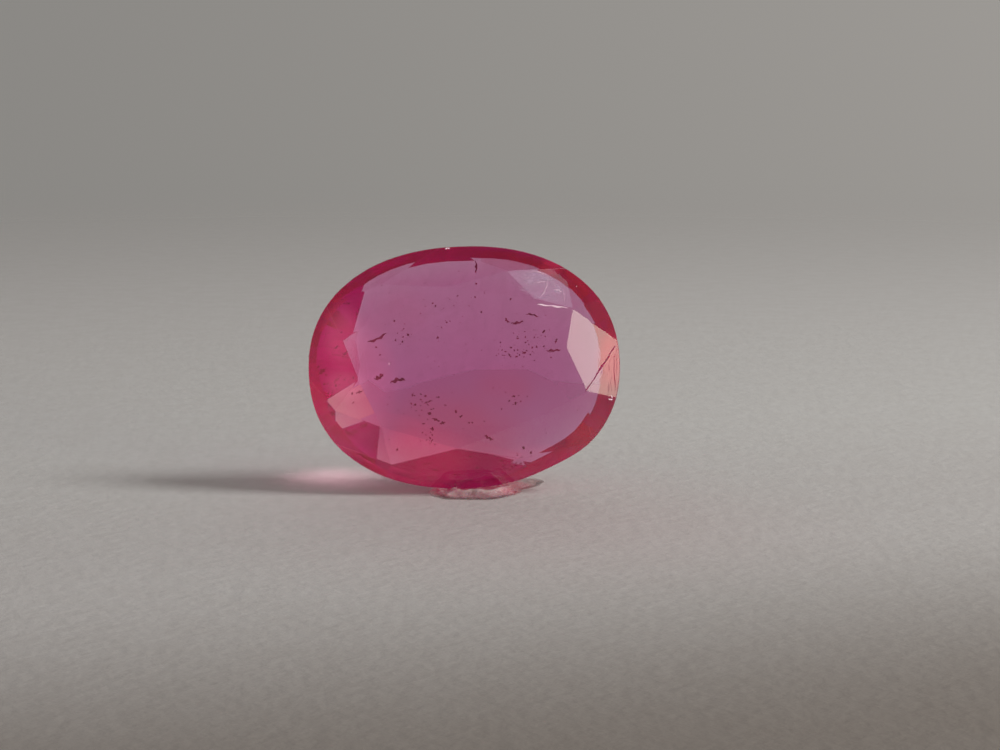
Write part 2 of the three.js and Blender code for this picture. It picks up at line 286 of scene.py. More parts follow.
# The floor: its radius, its rings and sides, the distances over which it fades into the backdrop, and its
# colours at depths from front to back, painted as shade: darkest at the front, lightest behind. Depth also
# changes by FLOOR_TURN for each step to the right. A faint pink, painted light from the stone, lies in front
# of it.
FLOOR_RADIUS = 400
FLOOR_GRID = (40, 96)
FLOOR_FADE = (30, 150)
FLOOR_COLOURS_WITH_PAINTED_SHADE = [(-28, (0.30, 0.278, 0.252)), (-8, (0.71, 0.72, 0.71)), (12, (0.79, 0.82, 0.805))]
FLOOR_TURN = -0.35
FLOOR_PAINTED_PINK_LIGHT = {"place": (2, -5), "reach": 11, "colour": (1.0, 0.93, 0.937)}
# The backdrop: its colour, its colour toward one side and the way there, and how much dimmer it is overhead
BACKDROP_LOW = (0.25, 0.242, 0.228)
BACKDROP_SIDE = (0.40, 0.38, 0.355)
BACKDROP_SIDE_DIRECTION = (1, 0.45, 0.35)
BACKDROP_DIMMING = 0.6

# What the stone bends and mirrors into view round it: soft patches of the surround, with degrees round from
# +X and up, the angles from their middle where they start and end to fade, and colours
SURROUND = [
    {"azimuth": 95, "elevation": 8, "full": 24, "end": 42, "colour": (0.36, 0.32, 0.31)},
    {"azimuth": 72, "elevation": 34, "full": 12, "end": 24, "colour": (0.44, 0.32, 0.32)},
    {"azimuth": 52, "elevation": 8, "full": 8, "end": 14, "colour": (0.50, 0.39, 0.29)},
    {"azimuth": 86, "elevation": 66, "full": 12, "end": 24, "colour": (0.30, 0.18, 0.21)},
]

# Soft lights: degrees round from +X and up, millimetres away and across, radiance and colour. They face a
# point at this height.
PANEL_AIM_HEIGHT = 4
PANELS = [
    {"name": "key", "azimuth": -11, "elevation": 38, "distance": 240, "size": (60, 80),
     "radiance": 16.6, "colour": (1.0, 0.965, 0.935)},
    {"name": "side", "azimuth": -37, "elevation": 6.5, "distance": 100, "size": (54, 34),
     "radiance": 3.3, "colour": (1.0, 0.93, 0.74)},
    {"name": "sky", "azimuth": -48, "elevation": 50, "distance": 120, "size": (40, 30),
     "radiance": 1.0, "colour": (0.7, 0.9, 1.0)},
]
# The pink light that the stone throws on the floor to its left: the ends of its way, its power, its
# source's radius, the angle of its cone and its colour
THROWN_FROM = (-4.3, 3.0, 3.4)
THROWN_TO = (-3.9, 2.2, 0.0)
THROWN_WATTS = 0.00023
THROWN_SOFTNESS = 0.8
THROWN_SPREAD = 56
THROWN_COLOUR = (1.0, 0.55, 0.65)

random = np.random.default_rng(11)


def read_facets(node):
    """The planes of a convex node's faces: outward normals, and how far out each plane lies."""
    mesh = frame["nodes"][node].data
    count = len(mesh.polygons)
    normals, middles = np.empty(count * 3), np.empty(count * 3)
    mesh.polygons.foreach_get("normal", normals)
    mesh.polygons.foreach_get("center", middles)
    normals, middles = normals.reshape(-1, 3), middles.reshape(-1, 3)
    return normals, np.einsum("nk,nk->n", normals, middles)


FACET_NORMALS, FACET_REACHES = read_facets("ruby")


def through_stone(points, direction):
    """How far along a direction each line through a point enters the stone and leaves it: the last of the
    planes that it meets from outside, and the first that it meets from inside."""
    speed = FACET_NORMALS @ direction
    distance = FACET_REACHES - points @ FACET_NORMALS.T
    inward, outward = speed < -NEARLY_LEVEL, speed > NEARLY_LEVEL
    enter = (distance[..., inward] / speed[inward]).max(-1)
    leave = (distance[..., outward] / speed[outward]).min(-1)
    return enter, leave


def on_table(along, up):
    """Points in the table's plane, from millimetres along the stone and up it from the table's middle."""
    along, up = np.asarray(along)[..., None], np.asarray(up)[..., None]
    return TABLE_POINT + MM * (along * ALONG_STONE + up * UP_STONE)


def in_stone(along, up, share, lift=0.0):
    """Points in the stone at a share of the way from its crown to its pavilion behind a place on the
    table, raised toward the crown by a length in metres."""
    places = on_table(along, up)
    enter, leave = through_stone(places, -TABLE_NORMAL)
    depth = enter + share * (leave - enter) - lift
    return places - depth[..., None] * TABLE_NORMAL


def grid_faces(rows, columns, closed):
    """Quads between neighbouring rows and columns of a grid of points. A closed grid's last column
    meets its first."""
    strips = columns if closed else columns - 1
    row, column = np.meshgrid(np.arange(rows - 1), np.arange(strips), indexing="ij")
    after = (column + 1) % columns
    here, below = row * columns, (row + 1) * columns
    return np.stack([here + column, here + after, below + after, below + column], -1).reshape(-1, 4)


def mesh_piece(name, points, faces, smooth=True):
    """An object at the origin from an array of points and an array of quads or triangles."""
    mesh = bpy.data.meshes.new(name)
    mesh.from_pydata(points.reshape(-1, 3), [], faces.tolist())
    mesh.polygons.foreach_set("use_smooth", np.full(len(mesh.polygons), smooth))
    mesh.update()
    piece = bpy.data.objects.new(name, mesh)
    bpy.context.scene.collection.objects.link(piece)
    return piece


def make_stone():
    """The stone's own solid, its facets made whole again, with its edges worn round."""
    mesh = frame["nodes"]["ruby"].data.copy()
    shape = bmesh.new()
    shape.from_mesh(mesh)
    bmesh.ops.remove_doubles(shape, verts=shape.verts, dist=MERGE_DISTANCE * MM)
    flat = math.radians(FLAT_ANGLE)
    bmesh.ops.dissolve_limit(shape, angle_limit=flat, verts=shape.verts, edges=shape.edges)
    shape.to_mesh(mesh)
    shape.free()
    mesh.name = "stone"
    stone = bpy.data.objects.new("stone", mesh)
    bpy.context.scene.collection.objects.link(stone)
    worn = stone.modifiers.new("worn edges", "BEVEL")
    worn.width = EDGE_WEAR * MM
    worn.segments = 2
    worn.limit_method = "ANGLE"
    worn.angle_limit = math.radians(WORN_ANGLE)
    worn.use_clamp_overlap = False
    return stone


def unit_ball(rings, sides):
    """Points of a ball of radius 1: each ring's height is the cosine of its angle from the pole and its
    radius the sine."""
    angles, turns = np.linspace(0, math.pi, rings), np.arange(sides) * TAU / sides
    down, turn = np.meshgrid(angles, turns, indexing="ij")
    ball = [np.sin(down) * np.cos(turn), np.sin(down) * np.sin(turn), np.cos(down)]
    return np.stack(ball, -1).reshape(-1, 3)


def grain_points(middles, radii, ball):
    """Uneven grains: a ball for each middle, stretched by three random shares of its radius, dented by a
    low wave over it, and turned at random about the table's normal."""
    count = len(middles)
    shares = random.uniform(*GRAIN_STRETCH, (count, 3))
    stretch = radii[:, None, None] * MM * shares[:, None, :]
    waves = random.uniform(1.5, 3.5, (count, 3))
    dents = 1 + 0.25 * np.sin(np.einsum("nk,mk->nm", waves, ball * 2) + random.uniform(0, TAU, (count, 1)))
    shaped = ball[None] * dents[..., None] * stretch
    turn = random.uniform(0, TAU, count)
    cosine, sine = np.cos(turn)[:, None], np.sin(turn)[:, None]
    along = shaped[..., 0] * cosine - shaped[..., 1] * sine
    up = shaped[..., 0] * sine + shaped[..., 1] * cosine
    offsets = along[..., None] * ALONG_STONE + up[..., None] * UP_STONE + shaped[..., 2:] * TABLE_NORMAL
    return middles[:, None, :] + offsets


def thread_points(thread, depth, steps, sides):
    """One thread: a tube along a bowed line whose radius rises and falls as a sine to its middle, with a
    ripple along it."""
    share = np.linspace(0, 1, steps)
    start, end = np.array(thread["start"]), np.array(thread["end"])
    across = np.array([start[1] - end[1], end[0] - start[0]]) / np.linalg.norm(end - start)
    ripple = 0.35 * thread["radius"] * np.sin(share * 17 + start[0] * 9)
    bow = thread["bow"] * np.sin(share * math.pi) + ripple
    path = start + share[:, None] * (end - start) + bow[:, None] * across
    radius = thread["radius"] * np.sin(share * math.pi) ** thread.get("taper", THREAD_TAPER)
    radius *= 1 + 0.3 * np.sin(share * 13 + start[1] * 7)
    turn = np.arange(sides) * TAU / sides
    flat = path[:, None, :] + (radius[:, None] * np.cos(turn))[..., None] * across
    return in_stone(flat[..., 0], flat[..., 1], depth, MM * radius[:, None] * np.sin(turn))


def join_parts(name, parts):
    """One mesh from several arrays of points with their faces."""
    points, faces, used = [], [], 0
    for shape, quads in parts:
        shape = shape.reshape(-1, 3)
        points.append(shape)
        faces.append(quads + used)
        used += len(shape)
    return mesh_piece(name, np.concatenate(points), np.concatenate(faces))


def grain_parts(places, radii, shares):
    """Grains behind places on the table, as arrays of points and faces. Those where the stone is thin
    are left out."""
    enter, leave = through_stone(on_table(places[:, 0], places[:, 1]), -TABLE_NORMAL)
    inside = leave - enter > LEAST_THICKNESS * MM
    middles = in_stone(places[inside, 0], places[inside, 1], shares[inside])
    rings, sides = BALL_GRID
    grains = grain_points(middles, radii[inside], unit_ball(rings, sides))
    return [(grain, grid_faces(rings, sides, True)) for grain in grains]


def thread_parts(threads, shares):
    """Threads behind places on the table, as arrays of points and faces."""
    steps, sides = THREAD_GRID
    faces = grid_faces(steps, sides, True)
    return [(thread_points(thread, share, steps, sides), faces) for thread, share in zip(threads, shares)]


def make_dark_inclusions():
    """Threads, single grains, swarms of grains and the dark lines painted as shade along facet edges, as one
    mesh.
    """
    places = [np.array([grain["place"] for grain in GRAINS])]
    radii = [np.array([grain["radius"] for grain in GRAINS])]
    for swarm in SWARMS:
        places.append(random.normal(swarm["place"], swarm["spread"], (swarm["count"], 2)))
        radii.append(swarm["radius"] * random.uniform(*SWARM_SIZES, swarm["count"]))
    places, radii = np.concatenate(places), np.concatenate(radii)
    grains = grain_parts(places, radii, random.uniform(*INCLUSION_SHARE, len(places)))
    threads = thread_parts(THREADS, random.uniform(*INCLUSION_SHARE, len(THREADS)))
    lines = thread_parts(PAINTED_SHADE_EDGE_LINES, [0.0] * len(PAINTED_SHADE_EDGE_LINES))
    return join_parts("dark_inclusions", grains + threads + lines)


def make_pale_inclusions():
    """Pale grains and threads, with the painted glints, as one mesh."""
    keys = ("place", "radius", "share")
    places, radii, shares = (np.array([grain[key] for grain in PALE_AND_GLINT_GRAINS]) for key in keys)
    grains = grain_parts(places, radii, shares)
    threads = thread_parts(PALE_AND_GLINT_THREADS, [thread["share"] for thread in PALE_AND_GLINT_THREADS])
    return join_parts("pale_inclusions", grains + threads)


def wrinkle(along, up):
    """Wrinkles as folded sines: the sum of one less the size of a sine over a bent ramp, in three
    directions, so that narrow ridges stand on broad hollows."""
    bent = along + 0.12 * np.sin(5 * up)
    ridges = (1 - np.abs(np.sin(9 * bent + 4 * up))) + 0.7 * (1 - np.abs(np.sin(14 * up - 6 * bent + 1)))
    return ridges + 0.5 * (1 - np.abs(np.sin(23 * bent + 3)))


def along_line(line, share):
    """Places on a line through points, at shares of the way along its first coordinate."""
    line = np.array(line)
    first = line[0, 0] + share * (line[-1, 0] - line[0, 0])
    return np.stack([first, np.interp(first, line[:, 0], line[:, 1])], -1)


def make_feather():
    """The feather: a sheet ruled between its upper and lower edges, that lies a little under the crown and
    is raised by wrinkles. Its strength falls off near its edges, and to nothing at its tip."""
    rows, columns = FEATHER_GRID
    down, right = np.meshgrid(np.linspace(0, 1, rows), np.linspace(0, 1, columns), indexing="ij")
    top, bottom = along_line(FEATHER_UPPER, right), along_line(FEATHER_LOWER, right)
    place = top + down[..., None] * (bottom - top)
    along, up = place[..., 0], place[..., 1]
    shape = in_stone(along, up, FEATHER_SHARE, WRINKLE_HEIGHT * MM * wrinkle(along, up))
    piece = mesh_piece("feather", shape, grid_faces(rows, columns, False))
    edge = np.minimum.reduce([0.25 + down * 5, 0.1 + (1 - down) * 5, right * 2.5, 0.1 + (1 - right) * 8])
    strength = piece.data.attributes.new("strength", "FLOAT", "POINT")
    strength.data.foreach_set("value", np.clip(edge, 0, 1).reshape(-1))
    return piece


def stone_floor(along, across):
    """How high the stone's surface is above each point of the floor, or far up where it misses the stone."""
    points = np.stack([along, across, np.zeros_like(along)], -1)
    enter, leave = through_stone(points, np.array([0.0, 0.0, 1.0]))
    return np.where(enter < leave, enter, 1.0)


def crumple(along, across):
    """Crumples in millimetres: folded sines in turned directions, each as high as its length allows."""
    height = np.zeros_like(along)
    for i, length in enumerate(CRUMPLE_LENGTHS):
        turn = 0.6 + 1.9 * i
        bend = 0.35 * length * np.sin(3 * across / length + i)
        way = along * math.cos(turn) + across * math.sin(turn) + bend
        height += length * (1 - 2 * np.abs(np.sin(math.pi * way / length)))
    return height * CRUMPLE_HEIGHT / sum(CRUMPLE_LENGTHS)


def hump(lump, along, across):
    """A round hump: a bell curve of the distance from its place, 1 at its top."""
    distance = np.hypot(along - lump["place"][0], across - lump["place"][1])
    return np.exp(-((distance / lump["radius"]) ** 2))


def make_dab():
    """The dab: over an uneven foot with its right end turned back, a height that stays high and falls near
    the rim, with a lip pressed up in front of the stone, raised by lumps and crumples and kept below the
    stone. The last rows close it to its flat foot. Its attributes say where the lip and the lumps are, which
    the material paints with a highlight, and how far toward the rim each point lies."""
    low, high = (np.array(corner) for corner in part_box("adhesive_dab"))
    middle, radii = (low + high) / 2, (high - low) / 2
    rings, sides = DAB_GRID
    share, turn = np.meshgrid(np.linspace(0.002, 1, rings), np.arange(sides) * TAU / sides, indexing="ij")
    spread = DAB_SPREAD + sum(size * np.sin(count * turn + start) for count, size, start in DAB_RIM_WAVES)
    along = (middle[0] + radii[0] * share * spread * np.cos(turn)) / MM
    across = (middle[1] + radii[1] * share * spread * np.sin(turn)) / MM
    across += DAB_TURN["slope"] * np.clip(along - DAB_TURN["start"], 0, None)
    height = DAB_RIM_HEIGHT + (DAB_TOP_HEIGHT - DAB_RIM_HEIGHT) * (1 - share**DAB_FULLNESS)
    front = np.clip(-np.sin(turn), 0, 1) ** 0.5
    lip = front * np.exp(-(((share - DAB_LIP["share"]) / DAB_LIP["width"]) ** 2))
    lumps = [hump(lump, along, across) for lump in DAB_LUMPS]
    height += DAB_LIP["height"] * lip + sum(lump["height"] * shape for lump, shape in zip(DAB_LUMPS, lumps))
    height += crumple(along, across) * (1 - share**8)
    upper = np.stack([along, across, height], -1) * MM
    ceiling = stone_floor(upper[..., 0], upper[..., 1]) - DAB_CLEARANCE * MM
    upper[..., 2] = np.clip(upper[..., 2], DAB_LEAST_HEIGHT * MM, ceiling)
    foot = upper[::-1].copy()
    foot[..., 2] = 0
    piece = mesh_piece("adhesive", np.concatenate([upper, foot]), grid_faces(2 * rings, sides, True))
    # The pale attribute marks the lip and lumps, where the material paints a highlight
    for name, values in (("pale", np.maximum.reduce([lip, *lumps])), ("toward rim", share)):
        both = np.concatenate([values, values[::-1]])
        piece.data.attributes.new(name, "FLOAT", "POINT").data.foreach_set("value", both.reshape(-1))
    return piece


def make_floor():
    """A disc of rings and sides."""
    rings, sides = FLOOR_GRID
    radius, turn = np.meshgrid(np.linspace(0, 1, rings) ** 2, np.arange(sides) * TAU / sides, indexing="ij")
    radius = radius * FLOOR_RADIUS * MM
    points = np.stack([radius * np.cos(turn), radius * np.sin(turn), np.zeros_like(radius)], -1)
    return mesh_piece("floor", points, grid_faces(rings, sides, True))


def add_node(tree, kind, inputs=None, **settings):
    """A node with its settings, and its inputs set to values or linked to other nodes' outputs."""
    node = tree.nodes.new(kind)
    for name, value in settings.items():
        setattr(node, name, value)
    for name, value in (inputs or {}).items():
        if isinstance(value, bpy.types.NodeSocket):
            tree.links.new(value, node.inputs[name])
        else:
            node.inputs[name].default_value = value
    return node


def maths(tree, operation, *values, **settings):
    """The number that a maths node makes of one number or more."""
    node = add_node(tree, "ShaderNodeMath", dict(enumerate(values)), operation=operation, **settings)
    return node.outputs[0]


def vector_maths(tree, operation, *values):
    """The outputs of a vector maths node: its vector and its value."""
    return add_node(tree, "ShaderNodeVectorMath", dict(enumerate(values)), operation=operation).outputs


def noise(tree, place, scale, detail):
    """Smooth noise over a place."""
    inputs = {"Vector": place, "Scale": scale, "Detail": detail}
    return add_node(tree, "ShaderNodeTexNoise", inputs).outputs["Fac"]


def bump(tree, height, strength, depth):
    """A normal tilted by a height, at a strength, over a depth in millimetres."""
    inputs = {"Height": height, "Strength": strength, "Distance": depth * MM}
    return add_node(tree, "ShaderNodeBump", inputs).outputs[0]


def metres(lengths):
    """Millimetres as metres."""
    return [length * MM for length in lengths]


def ramp(tree, value, low, high, start=0.0, end=1.0):
    """A value carried smoothly from one range to another."""
    inputs = {"Value": value, "From Min": low, "From Max": high, "To Min": start, "To Max": end}
    return add_node(tree, "ShaderNodeMapRange", inputs, interpolation_type="SMOOTHSTEP").outputs["Result"]


def blend_colours(tree, share, first, second):
    """A colour between two, by a share."""
    node = add_node(tree, "ShaderNodeMix", data_type="RGBA")
    for index, value in ((0, share), (6, first), (7, second)):
        if isinstance(value, bpy.types.NodeSocket):
            tree.links.new(value, node.inputs[index])
        else:
            node.inputs[index].default_value = (*value, 1)
    return node.outputs[2]


def new_material(name, **plain):
    """A material, its node tree and its shader with plain values on the shader's own sockets."""
    material = bpy.data.materials.new(name)
    material.use_nodes = True
    shader = material.node_tree.nodes["Principled BSDF"]
    for socket, value in plain.items():
        shader.inputs[socket.replace("_", " ")].default_value = value
    return material, material.node_tree, shader


def object_place(tree):
    """The point on the surface, in metres in the shared frame."""
    return add_node(tree, "ShaderNodeTexCoord").outputs["Object"]


def make_mottle_group():
    """Mottling: two sizes of noise, one 5.3 times as fine as the other, mixed into one mask, and a colour
    between two by that mask."""
    group = bpy.data.node_groups.new("mottle", "ShaderNodeTree")
    for name, kind in (("Place", "Vector"), ("Scale", "Float"), ("Light", "Color"), ("Dark", "Color")):
        group.interface.new_socket(name, in_out="INPUT", socket_type="NodeSocket" + kind)
    for name, kind in (("Colour", "Color"), ("Mask", "Float")):
        group.interface.new_socket(name, in_out="OUTPUT", socket_type="NodeSocket" + kind)
    start, end = add_node(group, "NodeGroupInput"), add_node(group, "NodeGroupOutput")
    broad = add_node(group, "ShaderNodeTexNoise", {
        "Vector": start.outputs["Place"], "Scale": start.outputs["Scale"], "Detail": 4.0, "Roughness": 0.6})
    fine = noise(group, start.outputs["Place"], maths(group, "MULTIPLY", start.outputs["Scale"], 5.3), 3.0)
    both = add_node(group, "ShaderNodeMix", {0: 0.3, 2: broad.outputs["Fac"], 3: fine})
    mask = ramp(group, both.outputs[0], 0.36, 0.64)
    colour = blend_colours(group, mask, start.outputs["Light"], start.outputs["Dark"])
    group.links.new(mask, end.inputs["Mask"])
    group.links.new(colour, end.inputs["Colour"])
    return group


MOTTLE = make_mottle_group()


def mottle(tree, place, scale, light, dark):
    """The mottling group, placed with its own values."""
    node = add_node(tree, "ShaderNodeGroup", node_tree=MOTTLE)
    tree.links.new(place, node.inputs["Place"])
    node.inputs["Scale"].default_value = scale
    node.inputs["Light"].default_value = (*light, 1)
    node.inputs["Dark"].default_value = (*dark, 1)
    return node


def in_zones(tree, place, zones):
    """How strongly a place lies in some zones: the most of their strengths there. Each falls smoothly to
    nothing at its radii."""
    most = 0.0
    for zone in zones:
        along, up = zone["radii"]
        scale = [1 / (along * MM), 0.0, 1 / (up * MM)]
        centred = vector_maths(tree, "SUBTRACT", place, on_table(*zone["place"]))["Vector"]
        scaled = vector_maths(tree, "MULTIPLY", centred, scale)["Vector"]
        reach = vector_maths(tree, "LENGTH", scaled)["Value"]
        strength = ramp(tree, reach, ZONE_CORE, 1.0, zone["strength"], 0.0)
        most = maths(tree, "MAXIMUM", most, strength)
    return most


def ruby_material():
    """Clear corundum that takes up green and blue, tinted in zones. Its facets are polished, the steeper
    ones less, and the girdle is nearly frosted. A faint red glow all over stands for its fluorescence; the
    stronger red glow and pale pink glow in zones are painted light. A low swell bends its surface a little,
    and scratches run up its facets at the right."""
    material, tree, shader = new_material(
        "ruby", Transmission_Weight=1.0, IOR=RUBY_INDEX, Emission_Strength=1.0)
    density = max(RUBY_UPTAKE) * UPTAKE_MARGIN
    colour = [1 - uptake / density for uptake in RUBY_UPTAKE]
    volume = add_node(tree, "ShaderNodeVolumeAbsorption", {"Color": (*colour, 1), "Density": density})
    tree.links.new(volume.outputs[0], tree.nodes["Material Output"].inputs["Volume"])

    place = object_place(tree)
    patches = mottle(tree, place, STONE_PATCHES, (1, 1, 1), (0.72, 0.72, 0.72)).outputs["Colour"]
    middle = maths(tree, "MULTIPLY", in_zones(tree, place, MIDDLE_ZONES), patches)
    clear = blend_colours(tree, middle, EDGE_TINT, MIDDLE_TINT)
    red = maths(tree, "MULTIPLY", in_zones(tree, place, RED_ZONES), patches)
    tree.links.new(blend_colours(tree, red, clear, RED_TINT), shader.inputs["Base Color"])
    # Emission: faint red fluorescence all over, with painted red glow and painted pale haze glow in zones.
    glow = blend_colours(tree, in_zones(tree, place, FLUORESCENT_AND_PAINTED_GLOW_ZONES), (0, 0, 0), FLUORESCENT_AND_PAINTED_GLOW_COLOUR)
    emission_with_painted_haze = blend_colours(tree, in_zones(tree, place, PAINTED_HAZE_GLOW_ZONES), glow, PAINTED_HAZE_GLOW_COLOUR)
    tree.links.new(emission_with_painted_haze, shader.inputs["Emission Color"])

    normal = add_node(tree, "ShaderNodeNewGeometry").outputs["True Normal"]
    facing = vector_maths(tree, "DOT_PRODUCT", normal, TABLE_NORMAL)["Value"]
    polish = ramp(tree, maths(tree, "ABSOLUTE", facing), *POLISH_FACING, *POLISH_ROUGHNESS)
    tree.links.new(polish, shader.inputs["Roughness"])

    lines = add_node(tree, "ShaderNodeMapping", {"Vector": place, "Scale": SCRATCH_LINES}).outputs[0]
    scratches, swell = noise(tree, lines, 1.0, 2.0), noise(tree, place, STONE_SWELL, 1.0)
    scratched = in_zones(tree, place, SCRATCHED_ZONES)
    depth = maths(tree, "MULTIPLY_ADD", scratched, SCRATCH_RELIEF, PLAIN_RELIEF)
    relief = maths(tree, "MULTIPLY_ADD", scratches, depth, swell)
    tree.links.new(bump(tree, relief, *STONE_BUMP), shader.inputs["Normal"])
    return material


def dark_inclusion_material():
    """Dark maroon crystals and stained threads, unevenly coloured, with a faint painted glow of their own
    colour for the light that reaches them inside the stone.
    """
    material, tree, shader = new_material("dark_inclusion", Roughness=0.55, Emission_Strength=0.22)
    colour = mottle(tree, object_place(tree), DARK_PATCHES, (0.42, 0.03, 0.14), (0.17, 0.008, 0.05))
    tree.links.new(colour.outputs["Colour"], shader.inputs["Base Color"])
    # Painted light: the inclusions glow faintly in their own colour.
    tree.links.new(colour.outputs["Colour"], shader.inputs["Emission Color"])
    tree.links.new(ramp(tree, colour.outputs["Mask"], 0, 1, 0.7, 0.9), shader.inputs["Alpha"])
    return material


def pale_inclusion_material():
    """Pale crystal that glows as painted light, for the light that it and the stone's chips would catch and
    for a glint along a facet edge.
    """
    material, tree, shader = new_material("pale_inclusion", Roughness=0.3, Emission_Strength=0.3)
    colour = mottle(tree, object_place(tree), PALE_PATCHES, (1.0, 0.84, 0.9), (0.8, 0.55, 0.68))
    tree.links.new(colour.outputs["Colour"], shader.inputs["Base Color"])
    tree.links.new(colour.outputs["Colour"], shader.inputs["Emission Color"])
    return material


def feather_material():
    """A pale lilac skin, thin in its hollows and denser, so brighter, along its wrinkles. It glows in its
    own colour as painted light, for the light it catches.
    """
    material, tree, shader = new_material("feather", Roughness=0.35, Emission_Strength=0.16)
    place = object_place(tree)
    patches = mottle(tree, place, FEATHER_PATCHES, (0.72, 0.60, 0.86), (0.9, 0.82, 0.95))
    tree.links.new(patches.outputs["Colour"], shader.inputs["Base Color"])
    # Painted light: the skin glows in its own colour.
    tree.links.new(patches.outputs["Colour"], shader.inputs["Emission Color"])
    creases = add_node(tree, "ShaderNodeMapping", {
        "Vector": place, "Rotation": (0, math.radians(35), 0), "Scale": FEATHER_CREASES})
    lines = ramp(tree, noise(tree, creases.outputs[0], 1.0, 3.0), 0.5, 0.66, 0.0, 0.4)
    haze = ramp(tree, patches.outputs["Mask"], 0, 1, 0.06, 0.28)
    both = maths(tree, "ADD", lines, haze, use_clamp=True)
    strength = add_node(tree, "ShaderNodeAttribute", attribute_name="strength").outputs["Fac"]
    tree.links.new(maths(tree, "MULTIPLY", both, strength), shader.inputs["Alpha"])
    return material


def adhesive_material():
    """Clear adhesive gone whitish with handling, thinner toward its rim. Its pink is painted light from the
    stone above it, deepest near the stone, where it also glows pink. Its lip and lumps are painted paler as
    a highlight, and its right end is painted dark as the shadow under the stone."""
    material, tree, shader = new_material(
        "adhesive", Transmission_Weight=0.25, IOR=1.46, Subsurface_Weight=0.25, Subsurface_Scale=0.0004,
        Coat_Weight=0.3, Coat_Roughness=0.22, Emission_Strength=0.12)
    place = object_place(tree)
    # Painted light: the film's pink stands for light from the stone above it
    film = mottle(tree, place, ADHESIVE_PATCHES, (0.76, 0.53, 0.55), (0.58, 0.34, 0.37))
    parts = add_node(tree, "ShaderNodeSeparateXYZ", {0: place}).outputs
    # Painted pink light near the stone, in the colour and in a glow
    near = ramp(tree, maths(tree, "ABSOLUTE", parts["Y"]), *metres(PAINTED_PINK_LIGHT_FADE), 0.75, 0.0)
    painted_pink_film = blend_colours(tree, near, film.outputs["Colour"], (0.74, 0.24, 0.31))
    tree.links.new(blend_colours(tree, near, (0, 0, 0), (1.0, 0.14, 0.26)), shader.inputs["Emission Color"])
    # Painted highlight on the lip and lumps
    pale = add_node(tree, "ShaderNodeAttribute", attribute_name="pale").outputs["Fac"]
    toward_rim = add_node(tree, "ShaderNodeAttribute", attribute_name="toward rim").outputs["Fac"]
    with_painted_highlight = blend_colours(tree, ramp(tree, pale, 0.35, 1.0, 0.0, 0.75), painted_pink_film, (0.92, 0.76, 0.76))
    # Painted shadow under the stone at the dab's right end
    dark = ramp(tree, parts["X"], *metres(PAINTED_SHADOW_END), 0.0, 0.7)
    tree.links.new(blend_colours(tree, dark, with_painted_highlight, (0.22, 0.14, 0.125)), shader.inputs["Base Color"])
    tree.links.new(ramp(tree, toward_rim, *THIN_RIM, 1.0, 0.4), shader.inputs["Alpha"])
    tree.links.new(ramp(tree, film.outputs["Mask"], 0, 1, 0.18, 0.45), shader.inputs["Roughness"])
    tree.links.new(bump(tree, film.outputs["Mask"], *ADHESIVE_BUMP), shader.inputs["Normal"])
    return material


def floor_material():
    """A pale, faintly mottled sheet that fades into the backdrop. It is painted as shade, darker toward the
    front, and painted faintly pink in front of the stone as light from it."""
    material, tree, shader = new_material("floor", Roughness=0.85)
    place = object_place(tree)
    # Painted shade: the colour darkens toward the front
    depth = vector_maths(tree, "DOT_PRODUCT", place, (FLOOR_TURN, 1, 0))["Value"]
    (before, base), *rest = FLOOR_COLOURS_WITH_PAINTED_SHADE
    for after, colour in rest:
        base = blend_colours(tree, ramp(tree, depth, before * MM, after * MM), base, colour)
        before = after
    # Painted pink light from the stone, in front of it
    apart = vector_maths(tree, "DISTANCE", place, Vector((*FLOOR_PAINTED_PINK_LIGHT["place"], 0)) * MM)["Value"]
    tinge = ramp(tree, apart, 0, FLOOR_PAINTED_PINK_LIGHT["reach"] * MM, 1.0, 0.0)
    sheet = blend_colours(tree, tinge, (1, 1, 1), FLOOR_PAINTED_PINK_LIGHT["colour"])
    paper = mottle(tree, place, PAPER_PATCHES, (1, 1, 1), (0.965, 0.96, 0.955)).outputs["Colour"]
    for layer in (sheet, paper):
        tinted = add_node(tree, "ShaderNodeMix", data_type="RGBA", blend_type="MULTIPLY")
        tinted.inputs[0].default_value = 1.0
        tree.links.new(base, tinted.inputs[6])
        tree.links.new(layer, tinted.inputs[7])
        base = tinted.outputs[2]
    tree.links.new(base, shader.inputs["Base Color"])
    grain = noise(tree, place, PAPER_GRAIN, 6.0)
    tree.links.new(bump(tree, grain, *PAPER_BUMP), shader.inputs["Normal"])
    radius = vector_maths(tree, "LENGTH", place)["Value"]
    tree.links.new(ramp(tree, radius, *metres(FLOOR_FADE), 1, 0), shader.inputs["Alpha"])
    return material


